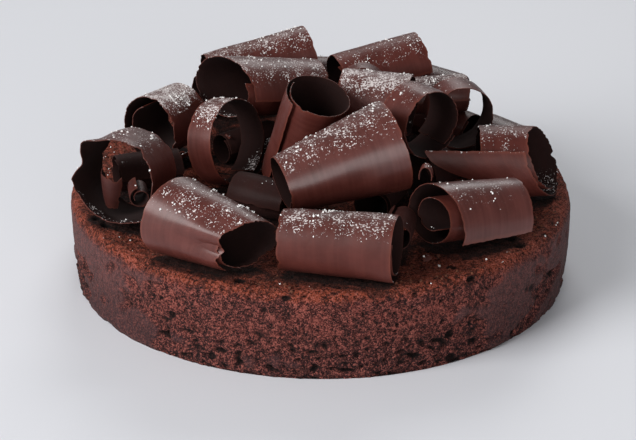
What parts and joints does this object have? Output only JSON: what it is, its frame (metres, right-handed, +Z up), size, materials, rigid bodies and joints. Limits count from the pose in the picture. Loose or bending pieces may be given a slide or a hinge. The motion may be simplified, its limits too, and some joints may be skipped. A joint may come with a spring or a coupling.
{
  "type": "round chocolate cake topped with chocolate curls",
  "caption": "Whole round flourless chocolate cake with a sunken top, under a heap of large rolled chocolate curls dusted with icing sugar.",
  "frame": {"origin": "centre of the cake's flat base, on the surface that it stands on", "axes": "+Z up out of the cake's top; -Y towards the shown front of the heap; +X to its right"},
  "size_m": [0.231, 0.231, 0.0986],
  "materials": {
    "crumb": "matte",
    "chocolate": "satin"
  },
  "bodies": {
    "root": {"cake": "crumb", "curl_front_left": "chocolate", "curl_front_centre": "chocolate", "curl_front_right": "chocolate", "curl_front_dark": "chocolate", "curl_left_wide": "chocolate", "curl_left_shard": "chocolate", "curl_left_tiny": "chocolate", "curl_left_low": "chocolate", "curl_left_dusted": "chocolate", "curl_right_long": "chocolate", "curl_low_left": "chocolate", "curl_centre_left": "chocolate", "curl_centre_upright": "chocolate", "curl_low_centre": "chocolate", "curl_low_open": "chocolate", "curl_low_middle": "chocolate", "curl_low_back": "chocolate", "curl_low_right": "chocolate", "curl_low_back_left": "chocolate", "curl_low_back_right": "chocolate", "curl_right_behind": "chocolate", "curl_rim_back_left": "chocolate", "curl_rim_back": "chocolate", "curl_rim_back_right": "chocolate", "curl_centre_cone": "chocolate", "curl_small_loop": "chocolate", "curl_back_flat": "chocolate", "curl_back_left": "chocolate", "curl_right_open": "chocolate", "curl_centre_dusted": "chocolate", "curl_back_arch": "chocolate", "curl_back_right": "chocolate", "curl_back_dark": "chocolate", "curl_right_ring": "chocolate"}
  },
  "joints": []
}
